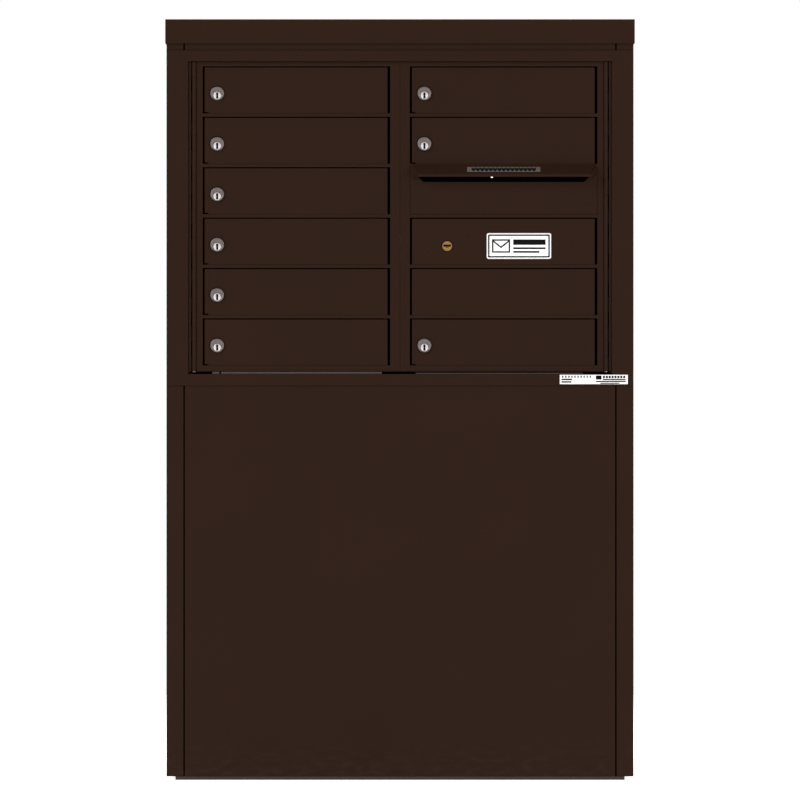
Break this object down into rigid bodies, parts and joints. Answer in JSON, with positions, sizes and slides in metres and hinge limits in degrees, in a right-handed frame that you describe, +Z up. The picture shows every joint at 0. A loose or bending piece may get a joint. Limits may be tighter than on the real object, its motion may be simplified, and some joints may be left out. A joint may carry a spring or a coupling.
{
  "type": "cluster mailbox unit",
  "caption": "Free-standing cabinet of locked mail compartments in two loading doors, with an outgoing-mail slot and hood, above a plain lower panel on a floor plate.",
  "frame": {"origin": "centre of the base plate's underside, between the four anchor holes", "axes": "-Y out of the doors, +X to the viewer's right, +Z up"},
  "size_m": [0.828, 0.492, 1.3413],
  "materials": {
    "powder_coat": "satin powder coat",
    "inner_coat": "satin powder coat",
    "zinc_steel": "zinc plated",
    "bright_steel": "bright drawn",
    "lock_nickel": "satin nickel plate",
    "plug_nickel": "bright nickel plate",
    "lock_brass": "turned brass",
    "plate_white": "gloss enamel"
  },
  "bodies": {
    "root": {"base_plate": "powder_coat", "left_side_panel": "powder_coat", "right_side_panel": "powder_coat", "rear_panel": "powder_coat", "lower_front_panel": "powder_coat", "header_rail": "powder_coat", "top_cap": "powder_coat", "face_frame": "powder_coat", "support_rails": "inner_coat", "module_wrapper": "inner_coat", "module_back_wall": "inner_coat", "centre_divider": "inner_coat", "compartment_shelves": "inner_coat", "master_hinge_leaves": "powder_coat", "master_hinge_pins": "bright_steel", "bolt_keeper": "zinc_steel", "sill_strips": "zinc_steel", "sill_lip": "powder_coat"},
    "left_master_door": {"left_master_frame": "powder_coat", "left_hinge_leaf": "powder_coat", "left_tenant_hinge_rod": "bright_steel", "latch_guide": "zinc_steel"},
    "latch_slide": {"latch_bolt": "zinc_steel"},
    "right_master_door": {"right_master_frame": "powder_coat", "right_hinge_leaf": "powder_coat", "right_tenant_hinge_rod": "bright_steel", "slot_panel": "powder_coat", "lock_panel": "powder_coat", "blank_panel": "powder_coat", "outgoing_hood": "powder_coat", "slot_baffle": "inner_coat", "mail_plate": "plate_white", "arrow_lock_case": "zinc_steel"},
    "arrow_plug": {"arrow_lock_plug": "lock_brass"},
    "arrow_slide": {"arrow_lock_bolt": "zinc_steel"},
    "tenant_1": {"tenant_door_1": "powder_coat", "lock_body_1": "lock_nickel"},
    "plug_1": {"lock_plug_1": "plug_nickel"},
    "tenant_2": {"tenant_door_2": "powder_coat", "lock_body_2": "lock_nickel"},
    "plug_2": {"lock_plug_2": "plug_nickel"},
    "tenant_3": {"tenant_door_3": "powder_coat", "lock_body_3": "lock_nickel"},
    "plug_3": {"lock_plug_3": "plug_nickel"},
    "tenant_4": {"tenant_door_4": "powder_coat", "lock_body_4": "lock_nickel"},
    "plug_4": {"lock_plug_4": "plug_nickel"},
    "tenant_5": {"tenant_door_5": "powder_coat", "lock_body_5": "lock_nickel"},
    "plug_5": {"lock_plug_5": "plug_nickel"},
    "tenant_6": {"tenant_door_6": "powder_coat", "lock_body_6": "lock_nickel"},
    "plug_6": {"lock_plug_6": "plug_nickel"},
    "tenant_7": {"tenant_door_7": "powder_coat", "lock_body_7": "lock_nickel"},
    "plug_7": {"lock_plug_7": "plug_nickel"},
    "tenant_8": {"tenant_door_8": "powder_coat", "lock_body_8": "lock_nickel"},
    "plug_8": {"lock_plug_8": "plug_nickel"},
    "tenant_9": {"tenant_door_9": "powder_coat", "lock_body_9": "lock_nickel"},
    "plug_9": {"lock_plug_9": "plug_nickel"}
  },
  "joints": [
    {"name": "left_master_hinge", "type": "hinge", "parent": "root", "child": "left_master_door", "pos_m": [-0.3633, -0.232, 0.99], "axis": [0, 0, -1], "range_deg": [0, 100]},
    {"name": "right_master_hinge", "type": "hinge", "parent": "root", "child": "right_master_door", "pos_m": [0.3633, -0.232, 0.99], "axis": [0, 0, 1], "range_deg": [0, 100]},
    {"name": "latch_bolt_slide", "type": "slide", "parent": "left_master_door", "child": "latch_slide", "axis": [1, 0, 0], "range_m": [0, 0.009]},
    {"name": "arrow_lock_turn", "type": "hinge", "parent": "right_master_door", "child": "arrow_plug", "pos_m": [0.0832, -0.232, 0.9414], "axis": [0, -1, 0], "range_deg": [0, 90]},
    {"name": "arrow_bolt_slide", "type": "slide", "parent": "right_master_door", "child": "arrow_slide", "axis": [-1, 0, 0], "range_m": [0, 0.0091]},
    {"name": "tenant_door_1_hinge", "type": "hinge", "parent": "left_master_door", "child": "tenant_1", "pos_m": [-0.0262, -0.224, 1.21695], "axis": [0, 0, 1], "range_deg": [0, 90]},
    {"name": "lock_1_turn", "type": "hinge", "parent": "tenant_1", "child": "plug_1", "pos_m": [-0.3224, -0.232, 1.2071], "axis": [0, -1, 0], "range_deg": [0, 90]},
    {"name": "tenant_door_2_hinge", "type": "hinge", "parent": "left_master_door", "child": "tenant_2", "pos_m": [-0.0262, -0.224, 1.12805], "axis": [0, 0, 1], "range_deg": [0, 90]},
    {"name": "lock_2_turn", "type": "hinge", "parent": "tenant_2", "child": "plug_2", "pos_m": [-0.3224, -0.232, 1.1182], "axis": [0, -1, 0], "range_deg": [0, 90]},
    {"name": "tenant_door_3_hinge", "type": "hinge", "parent": "left_master_door", "child": "tenant_3", "pos_m": [-0.0262, -0.224, 1.03915], "axis": [0, 0, 1], "range_deg": [0, 90]},
    {"name": "lock_3_turn", "type": "hinge", "parent": "tenant_3", "child": "plug_3", "pos_m": [-0.3224, -0.232, 1.0293], "axis": [0, -1, 0], "range_deg": [0, 90]},
    {"name": "tenant_door_4_hinge", "type": "hinge", "parent": "left_master_door", "child": "tenant_4", "pos_m": [-0.0262, -0.224, 0.95025], "axis": [0, 0, 1], "range_deg": [0, 90]},
    {"name": "lock_4_turn", "type": "hinge", "parent": "tenant_4", "child": "plug_4", "pos_m": [-0.3224, -0.232, 0.9404], "axis": [0, -1, 0], "range_deg": [0, 90]},
    {"name": "tenant_door_5_hinge", "type": "hinge", "parent": "left_master_door", "child": "tenant_5", "pos_m": [-0.0262, -0.224, 0.86135], "axis": [0, 0, 1], "range_deg": [0, 90]},
    {"name": "lock_5_turn", "type": "hinge", "parent": "tenant_5", "child": "plug_5", "pos_m": [-0.3224, -0.232, 0.8515], "axis": [0, -1, 0], "range_deg": [0, 90]},
    {"name": "tenant_door_6_hinge", "type": "hinge", "parent": "left_master_door", "child": "tenant_6", "pos_m": [-0.0262, -0.224, 0.77245], "axis": [0, 0, 1], "range_deg": [0, 90]},
    {"name": "lock_6_turn", "type": "hinge", "parent": "tenant_6", "child": "plug_6", "pos_m": [-0.3224, -0.232, 0.7626], "axis": [0, -1, 0], "range_deg": [0, 90]},
    {"name": "tenant_door_7_hinge", "type": "hinge", "parent": "right_master_door", "child": "tenant_7", "pos_m": [0.3393, -0.224, 1.21695], "axis": [0, 0, 1], "range_deg": [0, 90]},
    {"name": "lock_7_turn", "type": "hinge", "parent": "tenant_7", "child": "plug_7", "pos_m": [0.0431, -0.232, 1.2071], "axis": [0, -1, 0], "range_deg": [0, 90]},
    {"name": "tenant_door_8_hinge", "type": "hinge", "parent": "right_master_door", "child": "tenant_8", "pos_m": [0.3393, -0.224, 1.12805], "axis": [0, 0, 1], "range_deg": [0, 90]},
    {"name": "lock_8_turn", "type": "hinge", "parent": "tenant_8", "child": "plug_8", "pos_m": [0.0431, -0.232, 1.1182], "axis": [0, -1, 0], "range_deg": [0, 90]},
    {"name": "tenant_door_9_hinge", "type": "hinge", "parent": "right_master_door", "child": "tenant_9", "pos_m": [0.3393, -0.224, 0.77245], "axis": [0, 0, 1], "range_deg": [0, 90]},
    {"name": "lock_9_turn", "type": "hinge", "parent": "tenant_9", "child": "plug_9", "pos_m": [0.0431, -0.232, 0.7626], "axis": [0, -1, 0], "range_deg": [0, 90]}
  ],
  "couplings": [
    {"joint": "arrow_bolt_slide", "follows": "arrow_lock_turn", "m_per_rad": 0.0057296}
  ]
}
